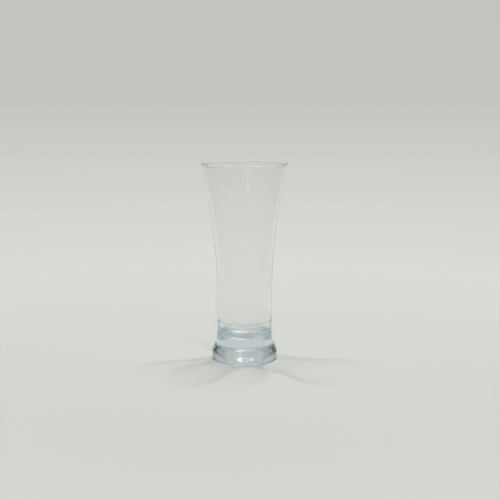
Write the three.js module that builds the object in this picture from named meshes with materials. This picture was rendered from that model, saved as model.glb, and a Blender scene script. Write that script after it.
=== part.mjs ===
// A tall flared beer tumbler: one piece of clear glass, turned about its own axis.
//
// The glass has a thick solid base on a rounded foot, a straight waist, and a wall that opens ever
// faster towards a fire-polished rim. Its whole section is one profile of arcs and Bezier curves.
//
// Lengths are millimetres. The origin lies on the axis, in the plane that the foot stands on, and
// +Z points up through the mouth.

import * as THREE from 'three';

// Driving dimensions of the outside.
const HEIGHT = 170;
const RIM_RADIUS = 36.8;
const WAIST_RADIUS = 23.7;
const BULGE_RADIUS = 28.15;
const HEEL_RADIUS = 28.45;

// Driving dimensions of the inside.
const CAVITY_FLOOR_HEIGHT = 19.2;
const WALL_AT_RIM = 1.2;
const WALL_AT_WAIST = 2.9;
const WALL_AT_CAVITY_FLOOR = 3.3;

// The rim is a round bead, thicker than the wall, and a small neck on each side leads into it.
const RIM_BEAD_RADIUS = 1.05;
const RIM_NECK_RADIUS = 0.4;
const RIM_SLOPE = 0.195;

// The flare leaves the straight waist here, and its two handles set how late it opens.
const FLARE_START_HEIGHT = 37;
const FLARE_LOWER_HANDLE = 41;
const FLARE_UPPER_HANDLE = 68;

// The foot: a soft bulge above a narrow heel, with a shallow groove between them.
const BULGE_HEIGHT = 6.2;
const BULGE_CURVATURE_RADIUS = 10.3;
const BULGE_TOP_ANGLE = THREE.MathUtils.degToRad(22.1);
const GROOVE_CURVATURE_RADIUS = 0.6;
const HEEL_CURVATURE_RADIUS = 0.4;

// The flank swings from the bulge back to the waist.
const FLANK_TOP_HEIGHT = 30.9;
const FLANK_LOWER_HANDLE = 4.05;
const FLANK_UPPER_HANDLE = 14.85;

// The underside is hollowed inside a flat ring, so that the glass stands on the ring alone.
// A greater power makes the hollow flatter in its middle and steeper at its edge.
const STANDING_RING_INNER_RADIUS = 18.6;
const UNDERSIDE_HOLLOW = 1.4;
const UNDERSIDE_POWER = 4.2;

// The floor of the cavity runs into the wall by a wide fillet, and dips softly to its centre.
// The dip's two handles lie at these shares of the floor's radius.
const FLOOR_FILLET_RADIUS = 12;
const FLOOR_DIP = 2;
const DIP_OUTER_SHARE = 0.75;
const DIP_INNER_SHARE = 0.45;

// How finely the curves and the turn are divided.
const TURN_SEGMENTS = 80;
const UNDERSIDE_STEPS = 7;
const HEEL_STEPS = 4;
const GROOVE_STEPS = 3;
const BULGE_STEPS = 5;
const FLANK_STEPS = 8;
const FLARE_STEPS = 12;
const NECK_STEPS = 2;
const BEAD_OUTSIDE_STEPS = 2;
const BEAD_TOP_STEPS = 3;
const BEAD_INSIDE_STEPS = 4;
const BLEND_STEPS = 2;
const FILLET_STEPS = 9;
const FLOOR_STEPS = 5;

const GLASS = {
  color: 0xeaf1f0,
  roughness: 0.03,
  metalness: 0,
  transparent: true,
  opacity: 0.35,
};

/** Returns steps + 1 points along a three.js curve. */
function alongCurve(curve, steps) {
  return curve.getPoints(steps);
}

/** Returns steps + 1 points of an arc, which runs clockwise where its end angle is the smaller one. */
function alongArc(centre, radius, startAngle, endAngle, steps) {
  const clockwise = endAngle < startAngle;
  const arc = new THREE.EllipseCurve(centre.x, centre.y, radius, radius, startAngle, endAngle, clockwise);
  return alongCurve(arc, steps);
}

/** Returns the angle at which one point sees another. */
function angleTo(from, to) {
  return Math.atan2(to.y - from.y, to.x - from.x);
}

/**
 * Returns the centre of the circle that touches two round forms from outside.
 * Both reaches are measured from the centres of those forms, and the answer lies on the outer side.
 */
function touchingCentre(lower, lowerReach, upper, upperReach) {
  const distance = lower.distanceTo(upper);
  const along = (lowerReach ** 2 - upperReach ** 2 + distance ** 2) / (2 * distance);
  const aside = Math.sqrt(lowerReach ** 2 - along ** 2);
  const direction = upper.clone().sub(lower).divideScalar(distance);
  const outward = new THREE.Vector2(direction.y, -direction.x);
  return lower.clone().addScaledVector(direction, along).addScaledVector(outward, aside);
}

/** The hollow under the foot, from the axis out to the standing ring, finer towards its steep edge. */
function undersidePoints() {
  const points = [];
  for (let step = 0; step <= UNDERSIDE_STEPS; step += 1) {
    const share = Math.sin(Math.PI / 2 * step / UNDERSIDE_STEPS);
    const radius = share * STANDING_RING_INNER_RADIUS;
    const height = UNDERSIDE_HOLLOW * (1 - share ** UNDERSIDE_POWER);
    points.push(new THREE.Vector2(radius, height));
  }
  return points;
}

/** The heel, the groove and the bulge: three arcs that run into each other without a corner. */
function footPoints() {
  const heel = new THREE.Vector2(HEEL_RADIUS - HEEL_CURVATURE_RADIUS, HEEL_CURVATURE_RADIUS);
  const bulge = new THREE.Vector2(BULGE_RADIUS - BULGE_CURVATURE_RADIUS, BULGE_HEIGHT);
  const groove = touchingCentre(
    heel,
    HEEL_CURVATURE_RADIUS + GROOVE_CURVATURE_RADIUS,
    bulge,
    BULGE_CURVATURE_RADIUS + GROOVE_CURVATURE_RADIUS,
  );
  const heelEnd = angleTo(heel, groove);
  const bulgeStart = angleTo(bulge, groove);
  return [
    ...alongArc(heel, HEEL_CURVATURE_RADIUS, -Math.PI / 2, heelEnd, HEEL_STEPS),
    ...alongArc(groove, GROOVE_CURVATURE_RADIUS, heelEnd + Math.PI, bulgeStart + Math.PI, GROOVE_STEPS),
    ...alongArc(bulge, BULGE_CURVATURE_RADIUS, bulgeStart, BULGE_TOP_ANGLE, BULGE_STEPS),
  ];
}

/** The flank: one curve that leaves the bulge along its tangent and reaches the waist upright. */
function flankPoints(start) {
  const tangent = new THREE.Vector2(-Math.sin(BULGE_TOP_ANGLE), Math.cos(BULGE_TOP_ANGLE));
  const flank = new THREE.CubicBezierCurve(
    start,
    start.clone().addScaledVector(tangent, FLANK_LOWER_HANDLE),
    new THREE.Vector2(WAIST_RADIUS, FLANK_TOP_HEIGHT - FLANK_UPPER_HANDLE),
    new THREE.Vector2(WAIST_RADIUS, FLANK_TOP_HEIGHT),
  );
  return alongCurve(flank, FLANK_STEPS);
}

/** The directions along and square to the wall where it meets the rim bead. */
function rimDirections() {
  const along = new THREE.Vector2(RIM_SLOPE, 1).normalize();
  const inward = new THREE.Vector2(-along.y, along.x);
  return { along, inward };
}

/** The centre of the rim bead: its edge is the widest circle and its top the height of the glass. */
function beadCentre() {
  return new THREE.Vector2(RIM_RADIUS - RIM_BEAD_RADIUS, HEIGHT - RIM_BEAD_RADIUS);
}

/** How far below the bead's centre the wall ends, for the necks to touch both the wall and the bead. */
function neckDrop() {
  const fromBead = RIM_BEAD_RADIUS + RIM_NECK_RADIUS;
  const fromMiddle = WALL_AT_RIM / 2 + RIM_NECK_RADIUS;
  return Math.sqrt(fromBead ** 2 - fromMiddle ** 2);
}

/** A point level with the wall's end, so far inwards from the middle of the wall. */
function besideWallEnd(distance) {
  const { along, inward } = rimDirections();
  return beadCentre().addScaledVector(along, -neckDrop()).addScaledVector(inward, distance);
}

/** The outer wall from the waist to the neck under the bead. */
function flareCurve() {
  const { along } = rimDirections();
  const end = besideWallEnd(-WALL_AT_RIM / 2);
  return new THREE.CubicBezierCurve(
    new THREE.Vector2(WAIST_RADIUS, FLARE_START_HEIGHT),
    new THREE.Vector2(WAIST_RADIUS, FLARE_START_HEIGHT + FLARE_LOWER_HANDLE),
    end.clone().addScaledVector(along, -FLARE_UPPER_HANDLE),
    end,
  );
}

/** The outer wall and, on its inner side, the same curve set in by the thickness of the wall. */
function wallPoints() {
  const flare = flareCurve();
  const outer = [];
  const inner = [];
  for (let step = 0; step <= FLARE_STEPS; step += 1) {
    const share = step / FLARE_STEPS;
    const point = flare.getPoint(share);
    const tangent = flare.getTangent(share);
    const thickness = THREE.MathUtils.lerp(WALL_AT_WAIST, WALL_AT_RIM, share);
    const inward = new THREE.Vector2(-tangent.y, tangent.x);
    outer.push(point);
    inner.push(point.clone().addScaledVector(inward, thickness));
  }
  return { outer, inner: inner.reverse() };
}

/** The neck, the bead with points at its widest and its top, and the neck on its inner side. */
function rimPoints() {
  const bead = beadCentre();
  const fromMiddle = WALL_AT_RIM / 2 + RIM_NECK_RADIUS;
  const outerNeck = besideWallEnd(-fromMiddle);
  const innerNeck = besideWallEnd(fromMiddle);
  const inwards = rimDirections().inward.angle();
  const outerTouch = angleTo(outerNeck, bead);
  const innerTouch = angleTo(innerNeck, bead);
  return [
    ...alongArc(outerNeck, RIM_NECK_RADIUS, inwards, outerTouch, NECK_STEPS),
    ...alongArc(bead, RIM_BEAD_RADIUS, outerTouch - Math.PI, 0, BEAD_OUTSIDE_STEPS),
    ...alongArc(bead, RIM_BEAD_RADIUS, 0, Math.PI / 2, BEAD_TOP_STEPS),
    ...alongArc(bead, RIM_BEAD_RADIUS, Math.PI / 2, innerTouch + Math.PI, BEAD_INSIDE_STEPS),
    ...alongArc(innerNeck, RIM_NECK_RADIUS, innerTouch, inwards - Math.PI, NECK_STEPS),
  ];
}

/** The wall's last stretch: it swings from the end of the inner wall to the start of the fillet. */
function blendCurve(wallEnd, filletStart) {
  const halfHeight = (wallEnd.y + filletStart.y) / 2;
  return new THREE.CubicBezierCurve(
    wallEnd,
    new THREE.Vector2(wallEnd.x, halfHeight),
    new THREE.Vector2(filletStart.x, halfHeight),
    filletStart,
  );
}

/** The floor of the cavity, which leaves the fillet level and dips to the axis. */
function dipCurve(floorRadius) {
  const lowest = CAVITY_FLOOR_HEIGHT - FLOOR_DIP;
  return new THREE.CubicBezierCurve(
    new THREE.Vector2(floorRadius, CAVITY_FLOOR_HEIGHT),
    new THREE.Vector2(floorRadius * DIP_OUTER_SHARE, CAVITY_FLOOR_HEIGHT),
    new THREE.Vector2(floorRadius * DIP_INNER_SHARE, lowest),
    new THREE.Vector2(0, lowest),
  );
}

/** The bottom of the cavity: the blend under the inner wall, the fillet, then the floor to the axis. */
function cavityFloorPoints(wallEnd) {
  const floorRadius = WAIST_RADIUS - WALL_AT_CAVITY_FLOOR - FLOOR_FILLET_RADIUS;
  const centre = new THREE.Vector2(floorRadius, CAVITY_FLOOR_HEIGHT + FLOOR_FILLET_RADIUS);
  const filletStart = new THREE.Vector2(floorRadius + FLOOR_FILLET_RADIUS, centre.y);
  return [
    ...alongCurve(blendCurve(wallEnd, filletStart), BLEND_STEPS),
    ...alongArc(centre, FLOOR_FILLET_RADIUS, 0, -Math.PI / 2, FILLET_STEPS),
    ...alongCurve(dipCurve(floorRadius), FLOOR_STEPS),
  ];
}

/** Drops points that repeat the one before them, where two stretches of the profile meet. */
function withoutRepeats(points) {
  const least = 1e-4;
  return points.filter((point, index) => index === 0 || point.distanceTo(points[index - 1]) > least);
}

/** The whole section, from the axis under the foot, over the rim, to the axis on the cavity floor. */
function sectionProfile() {
  const foot = footPoints();
  const wall = wallPoints();
  return withoutRepeats([
    ...undersidePoints(),
    ...foot,
    ...flankPoints(foot[foot.length - 1]),
    ...wall.outer,
    ...rimPoints(),
    ...wall.inner,
    ...cavityFloorPoints(wall.inner[wall.inner.length - 1]),
  ]);
}

/** The tumbler itself. A lathe turns about Y, so the mesh is laid over to stand along Z. */
function makeTumbler() {
  const mesh = new THREE.Mesh(
    new THREE.LatheGeometry(sectionProfile(), TURN_SEGMENTS),
    new THREE.MeshStandardMaterial(GLASS),
  );
  mesh.name = 'tumbler';
  mesh.rotation.x = Math.PI / 2;
  return mesh;
}

const glass = new THREE.Group();
glass.add(makeTumbler());

export default glass;
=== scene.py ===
"""A tall flared beer tumbler of clear glass, dressed and lit for a studio picture.

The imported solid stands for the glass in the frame, faceted. This script turns the same section again
with Geometry Nodes, finely enough for glass to bend light smoothly, gives it clear glass, and sets it
on a pale sweep under soft lamps. Clear glass has no look of its own: it shows what is round it, so the
sky dome, its glows and its panels are built with the same care as the glass.
"""

from __future__ import annotations

import logging
import math
from dataclasses import dataclass, field
from enum import Enum
from typing import Sequence

import bpy
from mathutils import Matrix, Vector


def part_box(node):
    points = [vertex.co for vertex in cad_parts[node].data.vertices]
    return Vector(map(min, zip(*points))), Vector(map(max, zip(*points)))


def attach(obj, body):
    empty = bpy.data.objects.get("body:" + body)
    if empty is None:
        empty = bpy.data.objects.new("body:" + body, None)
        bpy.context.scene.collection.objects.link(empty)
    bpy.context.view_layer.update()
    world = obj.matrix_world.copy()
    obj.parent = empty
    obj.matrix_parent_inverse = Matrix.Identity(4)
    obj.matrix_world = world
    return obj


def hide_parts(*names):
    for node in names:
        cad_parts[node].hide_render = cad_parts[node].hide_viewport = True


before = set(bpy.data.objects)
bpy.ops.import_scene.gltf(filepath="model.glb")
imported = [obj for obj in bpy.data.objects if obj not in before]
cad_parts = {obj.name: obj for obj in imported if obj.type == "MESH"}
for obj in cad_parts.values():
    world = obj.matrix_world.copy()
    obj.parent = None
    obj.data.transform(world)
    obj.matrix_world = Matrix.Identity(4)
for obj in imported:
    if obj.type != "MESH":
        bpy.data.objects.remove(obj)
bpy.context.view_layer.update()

LOG = logging.getLogger("tumbler")
MM = 0.001
CAD_NODE = "tumbler"
BODY = "root"
MOST_BOUNCES = 40
LEAST_STEP_MM = 1e-4

Tone = tuple[float, float, float]
SocketOrValue = bpy.types.NodeSocket | float


def flat(x: float, z: float) -> Vector:
    """Return a point of the section: its distance from the axis and its height."""
    return Vector((x, z))


def eased(steps: int) -> list[float]:
    """Divide a stretch finely at both ends, so that no long face leans on the short ones beside it.

    Args:
        steps: How many parts the stretch is divided into.

    Returns:
        steps + 1 shares of the way along it, from 0 to 1.
    """
    return [(1 - math.cos(math.pi * step / steps)) / 2 for step in range(steps + 1)]


def arc(centre: Vector, radius: float, start: float, end: float, steps: int) -> list[Vector]:
    """Divide a round stretch of the section.

    Args:
        centre: The centre of the arc.
        radius: Its radius.
        start: The angle of its first point, in radians above the horizontal.
        end: The angle of its last point.
        steps: How many parts it is divided into.

    Returns:
        steps + 1 points, both ends included.
    """
    turns = [start + (end - start) * share for share in eased(steps)]
    return [centre + radius * flat(math.cos(turn), math.sin(turn)) for turn in turns]


def straight(start: Vector, end: Vector, steps: int) -> list[Vector]:
    """Divide a straight stretch of the section into steps parts, finer at its ends."""
    return [start.lerp(end, share) for share in eased(steps)]


def bezier(handles: Sequence[Vector], share: float) -> Vector:
    """Find a point of a Bezier curve, by repeated mixing of its handles.

    Args:
        handles: The curve's ends, with the points that pull it between them.
        share: How far along the curve the point lies, from 0 to 1.

    Returns:
        The point.
    """
    points = list(handles)
    while len(points) > 1:
        points = [a.lerp(b, share) for a, b in zip(points, points[1:])]
    return points[0]


def curve(handles: Sequence[Vector], steps: int) -> list[Vector]:
    """Divide a Bezier curve of the section into steps parts, finer at its ends."""
    return [bezier(handles, share) for share in eased(steps)]


def bezier_tangent(handles: Sequence[Vector], share: float) -> Vector:
    """Return the direction, one long, of a Bezier curve at a share of the way along it."""
    legs = [b - a for a, b in zip(handles, handles[1:])]
    return bezier(legs, share).normalized()


def angle_to(start: Vector, end: Vector) -> float:
    """Return the angle at which one point of the section sees another."""
    return math.atan2(end.y - start.y, end.x - start.x)


@dataclass(frozen=True)
class TumblerSection:
    """The section of the glass, in millimetres, from the axis under the foot to the cavity's floor."""

    height: float
    rim_radius: float
    waist_radius: float = 23.7
    bulge_radius: float = 28.15
    heel_radius: float = 28.45
    cavity_floor: float = 19.2
    wall_at_rim: float = 1.2
    wall_at_waist: float = 2.9
    wall_at_floor: float = 3.3
    bead_radius: float = 1.05
    neck_radius: float = 0.4
    rim_slope: float = 0.195
    flare_start: float = 37.0
    flare_lower_handle: float = 41.0
    flare_upper_handle: float = 68.0
    bulge_height: float = 6.2
    bulge_curvature: float = 10.3
    bulge_top_angle: float = math.radians(22.1)
    groove_curvature: float = 0.6
    heel_curvature: float = 0.4
    flank_top: float = 30.9
    flank_lower_handle: float = 4.05
    flank_upper_handle: float = 14.85
    standing_ring_inner: float = 18.6
    underside_hollow: float = 1.4
    underside_power: float = 4.2
    floor_fillet: float = 12.0
    floor_dip: float = 2.0
    dip_outer_share: float = 0.75
    dip_inner_share: float = 0.45
    steps: int = 14
    wall_steps: int = 60

    def underside(self) -> list[Vector]:
        """Return the hollow under the foot, a dome from the axis down to the standing ring."""
        return [
            flat(
                share * self.standing_ring_inner,
                self.underside_hollow * (1 - share**self.underside_power),
            )
            for share in eased(self.steps)
        ]

    def standing_ring(self) -> list[Vector]:
        """Return the flat ring that the glass stands on, out to the heel."""
        outer = self.heel_radius - self.heel_curvature
        return straight(flat(self.standing_ring_inner, 0.0), flat(outer, 0.0), self.steps // 2)

    def groove_centre(self, heel: Vector, bulge: Vector) -> Vector:
        """Find the circle that touches the heel and the bulge from outside.

        Args:
            heel: The centre of the heel's arc.
            bulge: The centre of the bulge's arc.

        Returns:
            The centre of the groove's arc.
        """
        from_heel = self.heel_curvature + self.groove_curvature
        from_bulge = self.bulge_curvature + self.groove_curvature
        apart = (bulge - heel).length
        along = (from_heel**2 - from_bulge**2 + apart**2) / (2 * apart)
        aside = math.sqrt(from_heel**2 - along**2)
        direction = (bulge - heel) / apart
        return heel + direction * along + flat(direction.y, -direction.x) * aside

    def foot(self) -> list[Vector]:
        """Draw the heel, the groove and the bulge: three arcs that run into each other.

        Returns:
            Their points, from the standing ring up to the flank.
        """
        heel = flat(self.heel_radius - self.heel_curvature, self.heel_curvature)
        bulge = flat(self.bulge_radius - self.bulge_curvature, self.bulge_height)
        groove = self.groove_centre(heel, bulge)
        heel_end = angle_to(heel, groove)
        bulge_start = angle_to(bulge, groove)
        return [
            *arc(heel, self.heel_curvature, -math.pi / 2, heel_end, self.steps),
            *arc(
                groove, self.groove_curvature, heel_end + math.pi, bulge_start + math.pi, self.steps // 2
            ),
            *arc(bulge, self.bulge_curvature, bulge_start, self.bulge_top_angle, self.steps),
        ]

    def flank(self, start: Vector) -> list[Vector]:
        """Draw the curve from the bulge, along its tangent, to the upright waist.

        Args:
            start: The last point of the bulge.

        Returns:
            The curve's points and the waist's, up to where the wall begins to flare.
        """
        tangent = flat(-math.sin(self.bulge_top_angle), math.cos(self.bulge_top_angle))
        handles = [
            start,
            start + tangent * self.flank_lower_handle,
            flat(self.waist_radius, self.flank_top - self.flank_upper_handle),
            flat(self.waist_radius, self.flank_top),
        ]
        waist = straight(handles[-1], flat(self.waist_radius, self.flare_start), self.steps // 2)
        return [*curve(handles, self.steps), *waist]

    def bead_centre(self) -> Vector:
        """Return the centre of the rim bead, whose edge is the widest circle of the glass."""
        return flat(self.rim_radius - self.bead_radius, self.height - self.bead_radius)

    def rim_directions(self) -> tuple[Vector, Vector]:
        """Return the directions up along the wall's end and square to it, into the glass."""
        along = flat(self.rim_slope, 1.0).normalized()
        return along, flat(-along.y, along.x)

    def beside_wall_end(self, distance: float) -> Vector:
        """Find a point level with the end of the wall, where the necks to the bead begin.

        Args:
            distance: How far inwards it lies from the middle of the wall.

        Returns:
            The point.
        """
        along, inward = self.rim_directions()
        from_bead = self.bead_radius + self.neck_radius
        from_middle = self.wall_at_rim / 2 + self.neck_radius
        drop = math.sqrt(from_bead**2 - from_middle**2)
        return self.bead_centre() - along * drop + inward * distance

    def flare_handles(self) -> list[Vector]:
        """Find the handles of the outer wall's curve.

        Returns:
            Four points, from the waist to the neck under the bead.
        """
        along, _ = self.rim_directions()
        end = self.beside_wall_end(-self.wall_at_rim / 2)
        return [
            flat(self.waist_radius, self.flare_start),
            flat(self.waist_radius, self.flare_start + self.flare_lower_handle),
            end - along * self.flare_upper_handle,
            end,
        ]

    def wall(self) -> tuple[list[Vector], list[Vector]]:
        """Draw both sides of the wall, the inner one set in by a thickness that falls towards the rim.

        Returns:
            The outer wall's points upwards, and the inner wall's points downwards.
        """
        handles = self.flare_handles()
        outer, inner = [], []
        for share in eased(self.wall_steps):
            point = bezier(handles, share)
            tangent = bezier_tangent(handles, share)
            thickness = self.wall_at_waist + (self.wall_at_rim - self.wall_at_waist) * share
            outer.append(point)
            inner.append(point + flat(-tangent.y, tangent.x) * thickness)
        return outer, inner[::-1]

    def rim(self) -> list[Vector]:
        """Draw the rim's bead and the small necks that join it to the wall.

        Returns:
            The outer neck, the bead with points at its widest and its top, and the inner neck.
        """
        bead = self.bead_centre()
        from_middle = self.wall_at_rim / 2 + self.neck_radius
        outer_neck = self.beside_wall_end(-from_middle)
        inner_neck = self.beside_wall_end(from_middle)
        _, inward = self.rim_directions()
        inwards = math.atan2(inward.y, inward.x)
        outer_touch = angle_to(outer_neck, bead)
        inner_touch = angle_to(inner_neck, bead)
        stops = [outer_touch - math.pi, 0.0, math.pi / 2, inner_touch + math.pi]
        few = self.steps // 2
        pieces = [
            arc(outer_neck, self.neck_radius, inwards, outer_touch, few),
            *[arc(bead, self.bead_radius, a, b, few) for a, b in zip(stops, stops[1:])],
            arc(inner_neck, self.neck_radius, inner_touch, inwards - math.pi, few),
        ]
        return [point for piece in pieces for point in piece]

    def cavity_bottom(self, wall_end: Vector) -> list[Vector]:
        """Divide the bottom of the cavity.

        Args:
            wall_end: Where the inner wall ends.

        Returns:
            The wall's last stretch, the fillet under it, and the floor in to the axis.
        """
        floor_radius = self.waist_radius - self.wall_at_floor - self.floor_fillet
        centre = flat(floor_radius, self.cavity_floor + self.floor_fillet)
        lowest = self.cavity_floor - self.floor_dip
        handles = [
            flat(floor_radius, self.cavity_floor),
            flat(floor_radius * self.dip_outer_share, self.cavity_floor),
            flat(floor_radius * self.dip_inner_share, lowest),
            flat(0.0, lowest),
        ]
        fillet_start = centre + flat(self.floor_fillet, 0.0)
        half_drop = flat(0.0, (wall_end.y - fillet_start.y) / 2)
        blend = [wall_end, wall_end - half_drop, fillet_start + half_drop, fillet_start]
        return [
            *curve(blend, self.steps // 2),
            *arc(centre, self.floor_fillet, 0.0, -math.pi / 2, self.steps),
            *curve(handles, self.steps // 2),
        ]

    def points(self) -> list[Vector]:
        """Join the stretches into the whole section.

        Returns:
            Its points in metres, without those that repeat where stretches meet.
        """
        foot = self.foot()
        outer, inner = self.wall()
        whole = [
            *self.underside(),
            *self.standing_ring(),
            *foot,
            *self.flank(foot[-1]),
            *outer,
            *self.rim(),
            *inner,
            *self.cavity_bottom(inner[-1]),
        ]
        kept = whole[:1]
        for point in whole[1:]:
            if (point - kept[-1]).length > LEAST_STEP_MM:
                kept.append(point)
        return [point * MM for point in kept]


class NodeBench:
    """A node tree with short ways to add nodes and to join them."""

    def __init__(self, tree: bpy.types.NodeTree) -> None:
        """Keep the tree that the nodes go into."""
        self.tree = tree

    def add(
        self, kind: str, values: dict[str | int, object] | None = None, **settings: object
    ) -> bpy.types.Node:
        """Add a node.

        Args:
            kind: The node's type, as bpy names it.
            values: Its inputs by name or number: a plain value, or a socket to link from.
            **settings: Properties of the node itself, such as operation.

        Returns:
            The new node.
        """
        node = self.tree.nodes.new(kind)
        for name, setting in settings.items():
            setattr(node, name, setting)
        for key, value in (values or {}).items():
            if isinstance(value, bpy.types.NodeSocket):
                self.tree.links.new(value, node.inputs[key])
            else:
                node.inputs[key].default_value = value
        return node

    def math(
        self, operation: str, first: SocketOrValue, second: SocketOrValue = 0.0
    ) -> bpy.types.NodeSocket:
        """Add a Math node and return its result."""
        return self.add("ShaderNodeMath", {0: first, 1: second}, operation=operation).outputs[0]

    def smooth_step(self, value: bpy.types.NodeSocket, start: float, end: float) -> bpy.types.NodeSocket:
        """Add a node that eases from 0 to 1 as a value goes from start to end, and return its result."""
        return self.add(
            "ShaderNodeMapRange",
            {"Value": value, "From Min": start, "From Max": end},
            interpolation_type="SMOOTHSTEP",
        ).outputs[0]

    def parts(self, vector: bpy.types.NodeSocket) -> bpy.types.NodeOutputs:
        """Split a vector and return its X, Y and Z sockets."""
        return self.add("ShaderNodeSeparateXYZ", {0: vector}).outputs


class TurnedForm:
    """A Geometry Nodes tree that turns a section, a line of points in the XZ plane, about the Z axis."""

    TREE = "turned_form"

    def build(self) -> bpy.types.NodeTree:
        """Build the tree, with its named inputs.

        Returns:
            The tree, whose output is a smooth closed form in one finish.
        """
        tree = bpy.data.node_groups.new(self.TREE, "GeometryNodeTree")
        sockets = tree.interface
        sockets.new_socket("Section", in_out="INPUT", socket_type="NodeSocketGeometry")
        sockets.new_socket("Turn Steps", in_out="INPUT", socket_type="NodeSocketInt")
        sockets.new_socket("Weld Distance", in_out="INPUT", socket_type="NodeSocketFloat")
        sockets.new_socket("Finish", in_out="INPUT", socket_type="NodeSocketMaterial")
        sockets.new_socket("Form", in_out="OUTPUT", socket_type="NodeSocketGeometry")
        bench = NodeBench(tree)
        inputs = bench.add("NodeGroupInput").outputs
        turned = self.turned_sheet(bench, inputs["Section"], inputs["Turn Steps"])
        welded = bench.add(
            "GeometryNodeMergeByDistance", {"Geometry": turned, "Distance": inputs["Weld Distance"]}
        )
        smooth = bench.add("GeometryNodeSetShadeSmooth", {"Geometry": welded.outputs[0]})
        real = bench.add("GeometryNodeRealizeInstances", {"Geometry": smooth.outputs[0]})
        dressed = bench.add(
            "GeometryNodeSetMaterial", {"Geometry": real.outputs[0], "Material": inputs["Finish"]}
        )
        bench.add("NodeGroupOutput", {"Form": dressed.outputs[0]})
        return tree

    @staticmethod
    def turned_sheet(
        bench: NodeBench, section: bpy.types.NodeSocket, turn_steps: bpy.types.NodeSocket
    ) -> bpy.types.NodeSocket:
        """Lay a grid out with one row for each point of the section and one column for each step.

        Args:
            bench: The tree's bench.
            section: The section's geometry.
            turn_steps: How many steps make the full turn.

        Returns:
            The grid's geometry with every vertex turned into place.
        """
        size = bench.add("GeometryNodeAttributeDomainSize", {"Geometry": section}, component="MESH")
        rows = size.outputs["Point Count"]
        columns = bench.add(
            "FunctionNodeIntegerMath", {0: turn_steps, 1: 1}, operation="ADD"
        ).outputs[0]
        grid = bench.add("GeometryNodeMeshGrid", {"Vertices X": columns, "Vertices Y": rows})
        index = bench.add("GeometryNodeInputIndex").outputs[0]
        row = bench.add("FunctionNodeIntegerMath", {0: index, 1: rows}, operation="MODULO").outputs[0]
        column = bench.add("FunctionNodeIntegerMath", {0: index, 1: rows}, operation="DIVIDE_FLOOR")
        place = bench.add("GeometryNodeInputPosition").outputs[0]
        on_section = bench.add(
            "GeometryNodeSampleIndex",
            {"Geometry": section, "Value": place, "Index": row},
            data_type="FLOAT_VECTOR",
            domain="POINT",
        )
        share = bench.math("DIVIDE", column.outputs[0], turn_steps)
        turned = bench.add(
            "ShaderNodeVectorRotate",
            {"Vector": on_section.outputs[0], "Angle": bench.math("MULTIPLY", share, math.tau)},
            rotation_type="Z_AXIS",
        )
        moved = bench.add(
            "GeometryNodeSetPosition", {"Geometry": grid.outputs["Mesh"], "Position": turned.outputs[0]}
        )
        return moved.outputs[0]


@dataclass(frozen=True)
class ClearGlass:
    """Clear soda-lime glass with a fire-polished surface, and a faint blue-green tint where it is thick.

    Each metre of glass takes out the density times what the depth tint lacks of white. A lamp's light
    loses the least mirror's share straight on and the most mirror's at a glance, and the growth says
    how late the loss rises.
    """

    name: str = "soda_lime_glass"
    ior: float = 1.52
    roughness: float = 0.0
    surface_tint: Tone = (0.98, 0.98, 0.98)
    depth_tint: Tone = (0.70, 0.86, 0.94)
    density: float = 10.0
    least_mirror: float = 0.043
    most_mirror: float = 0.95
    mirror_growth: float = 5.0

    def clear_surface(self, bench: NodeBench) -> bpy.types.NodeSocket:
        """Return the shader that bends and mirrors light."""
        return bench.add(
            "ShaderNodeBsdfPrincipled",
            {
                "Base Color": (*self.surface_tint, 1.0),
                "Roughness": self.roughness,
                "IOR": self.ior,
                "Transmission Weight": 1.0,
            },
        ).outputs[0]

    def lamp_passage(self, bench: NodeBench) -> bpy.types.NodeSocket:
        """Return the shader that lets a lamp's light through, less where it strikes at a glance.

        Args:
            bench: The material's bench.

        Returns:
            A Transparent shader whose colour is what the surface doesn't mirror.
        """
        facing = bench.add("ShaderNodeLayerWeight", {"Blend": 0.5}).outputs["Facing"]
        glance = bench.math("POWER", facing, self.mirror_growth)
        through = bench.add(
            "ShaderNodeMapRange",
            {"Value": glance, "To Min": 1.0 - self.least_mirror, "To Max": 1.0 - self.most_mirror},
        ).outputs[0]
        return bench.add("ShaderNodeBsdfTransparent", {"Color": through}).outputs[0]

    def make(self) -> bpy.types.Material:
        """Build the material, with its own surface for lamps and for the floor's light.

        Returns:
            The material.
        """
        material = bpy.data.materials.new(self.name)
        material.use_nodes = True
        tree = material.node_tree
        tree.nodes.clear()
        bench = NodeBench(tree)
        kind_of_ray = bench.add("ShaderNodeLightPath").outputs
        plain = bench.add("ShaderNodeBsdfTransparent", {"Color": (*self.surface_tint, 1.0)})
        seen = bench.add(
            "ShaderNodeMixShader",
            {0: kind_of_ray["Is Diffuse Ray"], 1: self.clear_surface(bench), 2: plain.outputs[0]},
        )
        surface = bench.add(
            "ShaderNodeMixShader",
            {0: kind_of_ray["Is Shadow Ray"], 1: seen.outputs[0], 2: self.lamp_passage(bench)},
        )
        inside = bench.add(
            "ShaderNodeVolumeAbsorption", {"Color": (*self.depth_tint, 1.0), "Density": self.density}
        )
        bench.add(
            "ShaderNodeOutputMaterial", {"Surface": surface.outputs[0], "Volume": inside.outputs[0]}
        )
        return material


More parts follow.
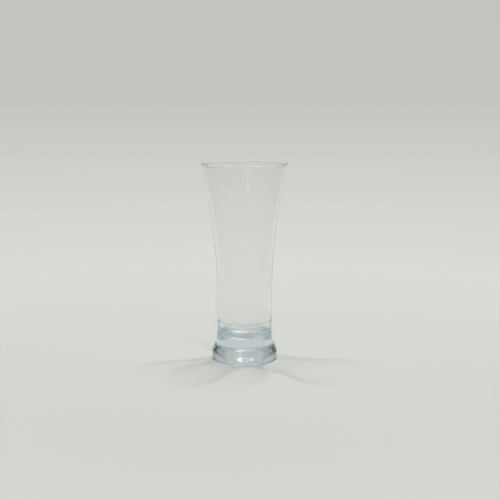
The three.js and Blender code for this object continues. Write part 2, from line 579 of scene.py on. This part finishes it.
@dataclass
class Tumbler:
    """The glass itself: one turned form."""

    section: TumblerSection
    glass: ClearGlass = field(default_factory=ClearGlass)
    turn_steps: int = 360
    weld_distance: float = 1e-6

    def section_object(self) -> bpy.types.Object:
        """Lay the section out as a line of edges in the XZ plane.

        Returns:
            The object that holds the line.
        """
        points = self.section.points()
        mesh = bpy.data.meshes.new("section")
        edges = [(at, at + 1) for at in range(len(points) - 1)]
        mesh.from_pydata([(point.x, 0.0, point.y) for point in points], edges, [])
        line = bpy.data.objects.new("section", mesh)
        bpy.context.scene.collection.objects.link(line)
        return line

    def build(self) -> bpy.types.Object:
        """Turn the section into the finished piece.

        Returns:
            The piece, a plain mesh at the origin.
        """
        line = self.section_object()
        tree = TurnedForm().build()
        modifier = line.modifiers.new("turned_form", "NODES")
        modifier.node_group = tree
        values = {
            "Turn Steps": self.turn_steps,
            "Weld Distance": self.weld_distance,
            "Finish": self.glass.make(),
        }
        for item in tree.interface.items_tree:
            if item.name in values:
                modifier[item.identifier] = values[item.name]
        evaluated = line.evaluated_get(bpy.context.evaluated_depsgraph_get())
        mesh = bpy.data.meshes.new_from_object(evaluated)
        line.modifiers.remove(modifier)
        bpy.data.objects.remove(line)
        while mesh.materials and mesh.materials[0] is None:
            mesh.materials.pop(index=0)
        mesh.name = "drinking_glass"
        piece = bpy.data.objects.new("drinking_glass", mesh)
        bpy.context.scene.collection.objects.link(piece)
        return piece

    def place(self) -> bpy.types.Object:
        """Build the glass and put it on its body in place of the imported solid.

        Returns:
            The finished piece.
        """
        piece = self.build()
        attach(piece, BODY)
        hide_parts(CAD_NODE)
        return piece


class LampPlace(Enum):
    """Where a lamp stands, seen from the camera, as degrees right of straight behind the glass."""

    BACK_RIGHT = 48.3
    BACK_MIDDLE = 21.0
    BACK_LEFT = -58.5
    FRONT = 166.4


@dataclass(frozen=True)
class SoftLamp:
    """A square soft lamp that looks down at the glass.

    Its elevation is in degrees, its power in watts, and its distance and side in metres.
    """

    place: LampPlace
    elevation: float
    power: float
    distance: float = 1.5
    side: float = 0.02

    def direction(self) -> Vector:
        """Find the way from the glass's foot to the lamp.

        Returns:
            A direction one long.
        """
        turn = math.radians(self.place.value)
        rise = math.radians(self.elevation)
        return Vector((math.sin(turn) * math.cos(rise), math.cos(turn) * math.cos(rise), math.sin(rise)))

    def make(self) -> bpy.types.Object:
        """Build the lamp and turn it to the glass's foot.

        Returns:
            The lamp.
        """
        data = bpy.data.lights.new("lamp_" + self.place.name.lower(), "AREA")
        data.shape = "SQUARE"
        data.size = self.side
        data.energy = self.power
        lamp = bpy.data.objects.new(data.name, data)
        away = self.direction()
        lamp.location = away * self.distance
        lamp.rotation_euler = away.to_track_quat("Z", "Y").to_euler()
        bpy.context.scene.collection.objects.link(lamp)
        return lamp


@dataclass(frozen=True)
class LitPanel:
    """A soft bright panel with upright sides on the dome, above what the camera sees past the glass.

    Its sides are angles right of straight behind the glass and its levels are elevations, in degrees.
    """

    left: float
    right: float
    low: float
    high: float
    strength: float
    side_edge: float = 1.5
    level_edge: float = 0.8

    def light(
        self, bench: NodeBench, sideways: bpy.types.NodeSocket, rise: bpy.types.NodeSocket
    ) -> SocketOrValue:
        """Find how much light the panel sends from a direction.

        Args:
            bench: The world's bench.
            sideways: The direction's angle right of straight behind, in degrees.
            rise: Its elevation, in degrees.

        Returns:
            The panel's strength on it, falling to 0 over its edges.
        """
        total: SocketOrValue = self.strength
        spans = (
            (sideways, self.left, self.right, self.side_edge),
            (rise, self.low, self.high, self.level_edge),
        )
        for value, low, high, edge in spans:
            for start, sign in ((low, 1.0), (high, -1.0)):
                beyond = bench.math("MULTIPLY", bench.math("SUBTRACT", value, start), sign / edge)
                inside = bench.smooth_step(beyond, -0.5, 0.5)
                total = bench.math("MULTIPLY", inside, total)
        return total


@dataclass(frozen=True)
class SkyDome:
    """The light all round the set: pale low down, and higher up only behind the glass.

    Heights on it are the upward parts of directions one long, so 0 is the horizon and 1 straight up.
    Each soft lamp adds a round glow, and each panel its own light.
    """

    pale: Tone = (0.546, 0.548, 0.515)
    bright: Tone = (0.66, 0.69, 0.68)
    bright_from: float = 0.36
    bright_at: float = 0.62
    middle: Tone = (0.325, 0.35, 0.355)
    top: Tone = (0.295, 0.32, 0.325)
    pale_up_to: float = 0.20
    middle_from: float = 0.42
    backdrop_rise: float = 0.72
    backdrop_inner: float = math.radians(12.0)
    backdrop_outer: float = math.radians(25.5)
    glow: Tone = (0.96, 1.0, 1.0)
    glow_strength: float = 0.87
    glow_spread: float = math.radians(4.5)
    least_level_length: float = 1e-4
    lamps: tuple[SoftLamp, ...] = ()
    panels: tuple[LitPanel, ...] = ()

    def backdrop_share(
        self, bench: NodeBench, across: bpy.types.NodeSocket, away: bpy.types.NodeSocket
    ) -> bpy.types.NodeSocket:
        """Find how far a direction lies within the backdrop's width.

        Args:
            bench: The world's bench.
            across: The direction's part across the view.
            away: Its part away from the camera.

        Returns:
            1 straight behind the glass, falling to 0 at the backdrop's sides.
        """
        squares = bench.math("ADD", bench.math("POWER", across, 2.0), bench.math("POWER", away, 2.0))
        level_length = bench.math("MAXIMUM", bench.math("SQRT", squares), self.least_level_length)
        straightness = bench.math("DIVIDE", away, level_length)
        return bench.smooth_step(
            straightness, math.cos(self.backdrop_outer), math.cos(self.backdrop_inner)
        )

    def lit_backdrop(
        self,
        bench: NodeBench,
        behind: bpy.types.NodeSocket,
        rise: bpy.types.NodeSocket,
        tone: bpy.types.NodeSocket,
    ) -> bpy.types.NodeSocket:
        """Brighten the backdrop upwards, where the lamps shine on it.

        Args:
            bench: The world's bench.
            behind: How far a direction lies within the backdrop's width.
            rise: The direction's part upwards.
            tone: The dome's tone without this light.

        Returns:
            The dome's tone with it.
        """
        climb = bench.smooth_step(rise, self.bright_from, self.bright_at)
        share = bench.math("MULTIPLY", climb, behind)
        gain = [bright / pale for bright, pale in zip(self.bright, self.pale)]
        lit = bench.add(
            "ShaderNodeMix", {0: 1.0, 6: tone, 7: (*gain, 1.0)}, data_type="RGBA", blend_type="MULTIPLY"
        ).outputs[2]
        return bench.add("ShaderNodeMix", {0: share, 6: tone, 7: lit}, data_type="RGBA").outputs[2]

    def glows(self, bench: NodeBench, direction: bpy.types.NodeSocket) -> bpy.types.NodeSocket:
        """Add up the soft glow round each lamp and the light of each panel.

        Args:
            bench: The world's bench.
            direction: The direction that is looked in.

        Returns:
            A Background shader.
        """
        total: SocketOrValue = 0.0
        for lamp in self.lamps:
            nearness = bench.add(
                "ShaderNodeVectorMath", {0: direction, 1: lamp.direction()}, operation="DOT_PRODUCT"
            ).outputs["Value"]
            falling = bench.math("POWER", bench.math("MAXIMUM", nearness, 0.0), 1 / self.glow_spread**2)
            strength = bench.math("MULTIPLY", falling, lamp.power * self.glow_strength)
            total = bench.math("ADD", strength, total)
        part = bench.parts(direction)
        sideways = bench.math("MULTIPLY", bench.math("ARCTAN2", part["X"], part["Y"]), math.degrees(1.0))
        rise = bench.math("MULTIPLY", bench.math("ARCSINE", part["Z"]), math.degrees(1.0))
        for panel in self.panels:
            total = bench.math("ADD", panel.light(bench, sideways, rise), total)
        return bench.add(
            "ShaderNodeBackground", {"Color": (*self.glow, 1.0), "Strength": total}
        ).outputs[0]

    def make(self) -> bpy.types.World:
        """Build the world and make it the scene's.

        Returns:
            The world.
        """
        world = bpy.data.worlds.new("sky_dome")
        bpy.context.scene.world = world
        world.use_nodes = True
        tree = world.node_tree
        tree.nodes.clear()
        bench = NodeBench(tree)
        direction = bench.add("ShaderNodeTexCoord").outputs["Generated"]
        part = bench.parts(direction)
        behind = self.backdrop_share(bench, part["X"], part["Y"])
        height = bench.math("SUBTRACT", part["Z"], bench.math("MULTIPLY", behind, self.backdrop_rise))
        ramp = bench.add("ShaderNodeValToRGB", {"Fac": height})
        ramp.color_ramp.interpolation = "EASE"
        stops = ramp.color_ramp.elements
        stops[0].position = self.pale_up_to
        stops[0].color = (*self.pale, 1.0)
        stops[1].position = 1.0
        stops[1].color = (*self.top, 1.0)
        between = stops.new(self.middle_from)
        between.color = (*self.middle, 1.0)
        lit = self.lit_backdrop(bench, behind, part["Z"], ramp.outputs["Color"])
        light = bench.add("ShaderNodeBackground", {"Color": lit, "Strength": 1.0})
        whole = bench.add("ShaderNodeAddShader", {0: light.outputs[0], 1: self.glows(bench, direction)})
        bench.add("ShaderNodeOutputWorld", {"Surface": whole.outputs[0]})
        return world


@dataclass(frozen=True)
class Sweep:
    """The pale floor, lit paper near the glass, which fades into the sky dome's horizon.

    The paper takes the lamps' light and the shadows. Farther off, the floor glows with painted light
    that no lamp changes, the lit paper's brightness fading to the horizon's tone; aside of the lit strip
    it glows darker, painted shade where the lamps' light does not reach.
    """

    paper: Tone = (0.436, 0.433, 0.411)
    # painted light: the lit paper's brightness, drawn as a glow that fades with distance towards the far
    # tone
    near: Tone = (0.79, 0.797, 0.758)
    far: Tone = (0.546, 0.548, 0.515)
    # painted shade: a darker glow aside of the lit strip, where the lamps' light does not reach
    aside: Tone = (0.42, 0.43, 0.42)
    lit_half_width: float = 0.222
    lit_widening: float = 0.26
    lit_edge: float = 0.30
    half_way: float = 1.0
    fade_start: float = 0.15
    fade_end: float = 0.55
    below_glass: float = 0.00005
    radius: float = 20.0
    corners: int = 96

    def painted_floor_tone(self, bench: NodeBench, away: bpy.types.NodeSocket, near: Tone) -> bpy.types.NodeSocket:
        """Make a glowing floor tone, painted light on the lit strip and painted shade aside of it, which
        nears the horizon's tone as the distance grows.

        Args:
            bench: The material's bench.
            away: The distance from the glass.
            near: The painted tone close to the glass.

        Returns:
            An Emission shader.
        """
        share = bench.math("DIVIDE", away, bench.math("ADD", away, self.half_way))
        colour = bench.add(
            "ShaderNodeMix", {0: share, 6: (*near, 1.0), 7: (*self.far, 1.0)}, data_type="RGBA"
        ).outputs[2]
        return bench.add("ShaderNodeEmission", {"Color": colour, "Strength": 1.0}).outputs[0]

    def unlit_share(self, bench: NodeBench, place: bpy.types.NodeSocket) -> bpy.types.NodeSocket:
        """Find how far a place lies beyond the lit strip, which widens away from the camera.

        Args:
            bench: The material's bench.
            place: The place on the floor.

        Returns:
            0 on the strip, rising to 1 at its sides.
        """
        part = bench.parts(place)
        widening = bench.math("MULTIPLY", part["Y"], self.lit_widening)
        half_width = bench.math("ADD", widening, self.lit_half_width)
        beyond = bench.math("SUBTRACT", bench.math("ABSOLUTE", part["X"]), half_width)
        return bench.smooth_step(beyond, 0.0, self.lit_edge)

    def material(self) -> bpy.types.Material:
        """Build the floor's material.

        Returns:
            The material: paper near the glass, glows of painted light farther off and of painted shade
                aside.
        """
        material = bpy.data.materials.new("pale_sweep")
        material.use_nodes = True
        tree = material.node_tree
        tree.nodes.clear()
        bench = NodeBench(tree)
        place = bench.add("ShaderNodeTexCoord").outputs["Object"]
        away = bench.add("ShaderNodeVectorMath", {0: place}, operation="LENGTH").outputs["Value"]
        share = bench.smooth_step(away, self.fade_start, self.fade_end)
        paper = bench.add("ShaderNodeBsdfDiffuse", {"Color": (*self.paper, 1.0)})
        # farther off, the lit paper gives way to a glow of painted light
        mixed = bench.add(
            "ShaderNodeMixShader",
            {0: share, 1: paper.outputs[0], 2: self.painted_floor_tone(bench, away, self.near)},
        )
        # aside of the lit strip, a darker glow of painted shade
        whole = bench.add(
            "ShaderNodeMixShader",
            {
                0: self.unlit_share(bench, place),
                1: mixed.outputs[0],
                2: self.painted_floor_tone(bench, away, self.aside),
            },
        )
        bench.add("ShaderNodeOutputMaterial", {"Surface": whole.outputs[0]})
        return material

    def make(self) -> bpy.types.Object:
        """Build the floor, a round sheet just under the glass.

        Returns:
            The floor.
        """
        mesh = bpy.data.meshes.new("floor")
        ring = [math.tau * corner / self.corners for corner in range(self.corners)]
        low = -self.below_glass
        points = [(self.radius * math.cos(turn), self.radius * math.sin(turn), low) for turn in ring]
        mesh.from_pydata(points, [], [list(range(self.corners))])
        mesh.materials.append(self.material())
        floor = bpy.data.objects.new("floor", mesh)
        bpy.context.scene.collection.objects.link(floor)
        return floor


@dataclass(frozen=True)
class Camera:
    """The camera, placed by a fit to the ellipses of the rim and the foot.

    Its lens is in millimetres, its place in metres, and its pitch, downwards, in degrees.
    """

    lens: float = 72.0
    distance: float = 0.8487
    height: float = 0.2338
    pitch: float = 9.27
    aside: float = 0.0047

    def make(self) -> bpy.types.Object:
        """Build the camera and make it the scene's.

        Returns:
            The camera.
        """
        data = bpy.data.cameras.new("camera")
        data.lens = self.lens
        camera = bpy.data.objects.new("camera", data)
        camera.location = (self.aside, -self.distance, self.height)
        camera.rotation_euler = (math.radians(90.0 - self.pitch), 0.0, 0.0)
        bpy.context.scene.collection.objects.link(camera)
        bpy.context.scene.camera = camera
        return camera


def studio_lamps() -> tuple[SoftLamp, ...]:
    """Set the lamps out: three above and behind the glass, and a weaker one before it.

    Returns:
        The four soft lamps.
    """
    back_power = 6.4
    front_power = 3.9
    return (
        SoftLamp(LampPlace.BACK_RIGHT, elevation=68.2, power=back_power),
        SoftLamp(LampPlace.BACK_MIDDLE, elevation=73.1, power=back_power),
        SoftLamp(LampPlace.BACK_LEFT, elevation=64.6, power=back_power),
        SoftLamp(LampPlace.FRONT, elevation=65.3, power=front_power),
    )


def bulge_panels() -> list[LitPanel]:
    """Return the tall dim panels that the middle of the bulge shows: a narrow one on a wide one."""
    low, high = 12.3, 21.3
    return [
        LitPanel(left=-4.0, right=13.0, low=low, high=high, strength=0.05, side_edge=4.0),
        LitPanel(left=3.5, right=6.5, low=low, high=high, strength=0.12, side_edge=2.0),
    ]


def heel_strips() -> list[LitPanel]:
    """Set out the flat strips that make the row of glints over the heel.

    Returns:
        A dim strip, a brighter one on its right part, and one a little higher at its left end.
    """
    low, high = 14.2, 14.5
    lift = 0.25
    edge = 0.15
    return [
        LitPanel(left=-11.5, right=10.0, low=low, high=high, strength=0.18, level_edge=edge),
        LitPanel(left=2.5, right=10.0, low=low, high=high, strength=0.42, level_edge=edge),
        LitPanel(
            left=-11.5, right=-8.0, low=low + lift, high=high + lift, strength=0.35, level_edge=edge
        ),
    ]


def shoulder_panels() -> list[LitPanel]:
    """Set out the panels that make the glint at the top of the bulge.

    Returns:
        A dim panel, and a brighter one on its right part.
    """
    low, high = 21.3, 26.0
    edge = 0.5
    return [
        LitPanel(left=-11.5, right=10.0, low=low, high=high, strength=0.12, level_edge=edge),
        LitPanel(left=1.5, right=10.0, low=low, high=high, strength=0.35, level_edge=edge),
    ]


def floor_panel() -> LitPanel:
    """Return the high soft panel that the cavity's floor shows."""
    return LitPanel(
        left=-8.0, right=11.0, low=50.0, high=66.0, strength=0.50, side_edge=6.0, level_edge=8.0
    )


def rim_panel() -> LitPanel:
    """Return the panel on the camera's side that the flared wall mirrors, as a streak under the rim."""
    return LitPanel(
        left=-174.0, right=-166.0, low=12.8, high=20.0, strength=0.50, side_edge=5.0, level_edge=1.5
    )


def studio_panels() -> tuple[LitPanel, ...]:
    """Return every panel, each group under the part of the glass that shows it."""
    return (*bulge_panels(), *heel_strips(), *shoulder_panels(), floor_panel(), rim_panel())


def section_from_frame() -> TumblerSection:
    """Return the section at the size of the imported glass."""
    low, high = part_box(CAD_NODE)
    return TumblerSection(height=(high.z - low.z) / MM, rim_radius=(high.x - low.x) / 2 / MM)


def set_light_paths() -> None:
    """Keep tones plain, and follow light long enough to leave the base, which mirrors it many times.

    Caustics stay off, because the glass's own surface already lets a lamp's light through.
    """
    bpy.context.scene.view_settings.view_transform = "Standard"
    cycles = bpy.context.scene.cycles
    cycles.max_bounces = MOST_BOUNCES
    cycles.transmission_bounces = MOST_BOUNCES
    cycles.glossy_bounces = MOST_BOUNCES
    cycles.caustics_reflective = False
    cycles.caustics_refractive = False


def main() -> None:
    """Build the glass and its studio, in order, and log each piece."""
    logging.basicConfig(level=logging.INFO, format="%(name)s: %(message)s")
    set_light_paths()
    piece = Tumbler(section_from_frame()).place()
    LOG.info("%s has %d faces", piece.name, len(piece.data.polygons))
    lamps = studio_lamps()
    SkyDome(lamps=lamps, panels=studio_panels()).make()
    Sweep().make()
    for lamp in lamps:
        LOG.info("%s stands at %s", lamp.make().name, lamp.place.name)
    Camera().make()


if __name__ == "__main__":
    main()
